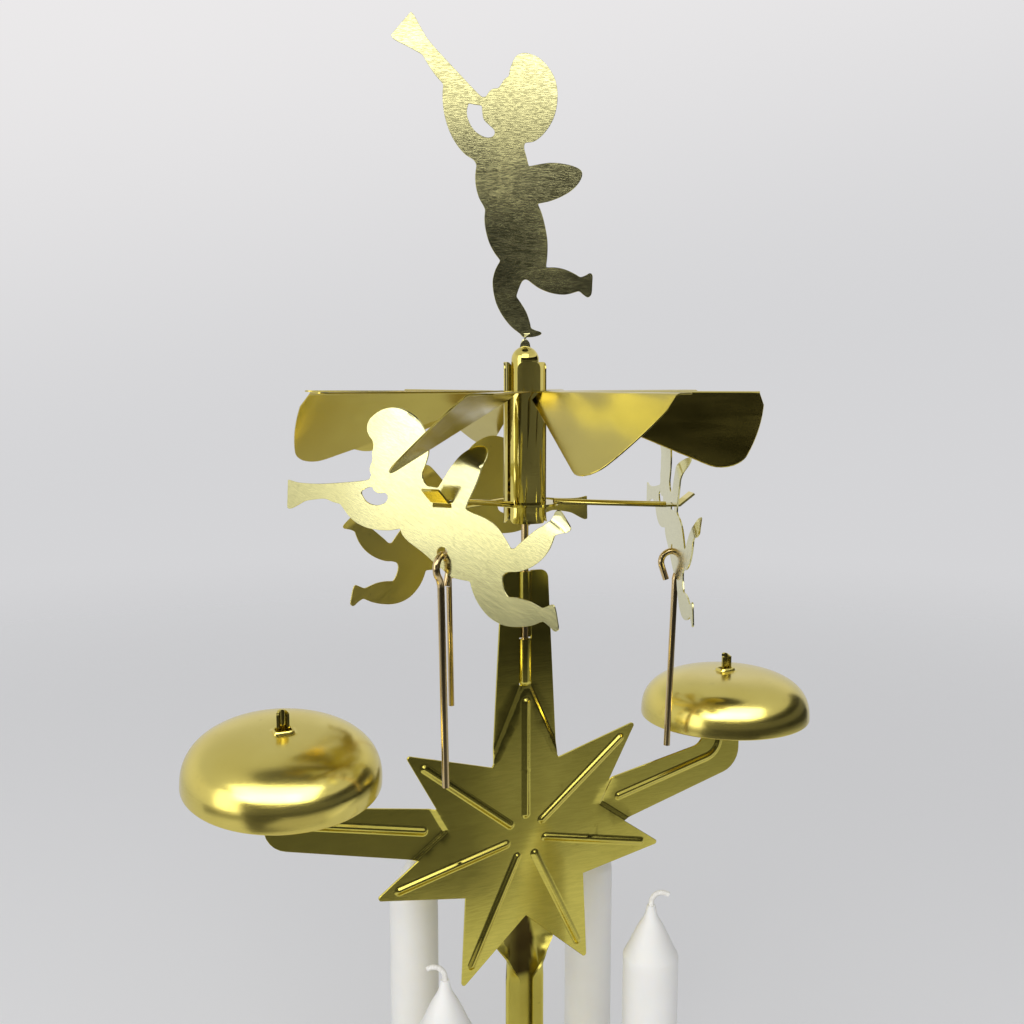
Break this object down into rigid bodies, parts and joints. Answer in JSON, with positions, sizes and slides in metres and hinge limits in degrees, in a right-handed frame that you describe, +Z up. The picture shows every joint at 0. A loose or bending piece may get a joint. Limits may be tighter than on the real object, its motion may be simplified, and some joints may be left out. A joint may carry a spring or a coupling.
{
  "type": "angel chime carousel",
  "caption": "Candle-driven sheet-brass angel chime: a bladed rotor carries flying angels whose hanging strikers ring bells on a star-fronted stand above a candle dish.",
  "frame": {"origin": "centre of the bounding box on the surface that the tray stands on; the rotor's axis rises from it", "axes": "+Z up along the rotor's axis, -Y is the side that the star faces, X runs through both bells"},
  "size_m": [0.1652, 0.126, 0.317],
  "materials": {
    "satin_brass": "satin, finely brushed",
    "polished_brass": "polished",
    "copper_wire": "drawn copper-toned wire",
    "wax": "matt wax",
    "wick": "braided cotton"
  },
  "bodies": {
    "stand": {"base_tray": "satin_brass", "candle_cup_1": "satin_brass", "candle_cup_2": "satin_brass", "candle_cup_3": "satin_brass", "candle_cup_4": "satin_brass", "cup_rivets": "satin_brass", "upright": "satin_brass", "needle": "copper_wire"},
    "rotor": {"pivot_thimble": "polished_brass", "hub_stave_1": "polished_brass", "hub_stave_2": "polished_brass", "hub_stave_3": "polished_brass", "fan_wheel": "polished_brass", "angel_carrier": "polished_brass", "flying_angel_1": "satin_brass", "flying_angel_2": "satin_brass", "flying_angel_3": "satin_brass", "top_angel": "satin_brass"},
    "striker_1": {"striker_1": "copper_wire"},
    "striker_2": {"striker_2": "copper_wire"},
    "striker_3": {"striker_3": "copper_wire"},
    "bell_left": {"bell_left": "satin_brass"},
    "bell_right": {"bell_right": "satin_brass"},
    "candle_1": {"candle_1": "wax", "wick_1": "wick"},
    "candle_2": {"candle_2": "wax", "wick_2": "wick"},
    "candle_3": {"candle_3": "wax", "wick_3": "wick"},
    "candle_4": {"candle_4": "wax", "wick_4": "wick"}
  },
  "joints": [
    {"name": "rotor_spin", "type": "hinge", "parent": "stand", "child": "rotor", "pos_m": [0, 0, 0.2402], "axis": [0, 0, 1], "continuous": true},
    {"name": "striker_swing_1", "type": "hinge", "parent": "rotor", "child": "striker_1", "pos_m": [-0.02988, -0.02124, 0.19595], "axis": [-0.8007, -0.599, 0], "range_deg": [-8, 8]},
    {"name": "striker_swing_2", "type": "hinge", "parent": "rotor", "child": "striker_2", "pos_m": [0.03507, -0.01132, 0.19105], "axis": [0.9164, -0.4003, 0], "range_deg": [-8, 8]},
    {"name": "striker_swing_3", "type": "hinge", "parent": "rotor", "child": "striker_3", "pos_m": [-0.00503, 0.03614, 0.18715], "axis": [0.0262, 0.9997, 0], "range_deg": [-8, 8]},
    {"name": "bell_rock_left", "type": "hinge", "parent": "stand", "child": "bell_left", "pos_m": [-0.0602, 0, 0.1542], "axis": [1, 0, 0], "range_deg": [-6, 6]},
    {"name": "bell_rock_right", "type": "hinge", "parent": "stand", "child": "bell_right", "pos_m": [0.0602, 0, 0.1542], "axis": [1, 0, 0], "range_deg": [-6, 6]},
    {"name": "candle_lift_1", "type": "slide", "parent": "stand", "child": "candle_1", "axis": [0, 0, 1], "range_m": [0, 0.02]},
    {"name": "candle_lift_2", "type": "slide", "parent": "stand", "child": "candle_2", "axis": [0, 0, 1], "range_m": [0, 0.02]},
    {"name": "candle_lift_3", "type": "slide", "parent": "stand", "child": "candle_3", "axis": [0, 0, 1], "range_m": [0, 0.02]},
    {"name": "candle_lift_4", "type": "slide", "parent": "stand", "child": "candle_4", "axis": [0, 0, 1], "range_m": [0, 0.02]}
  ]
}
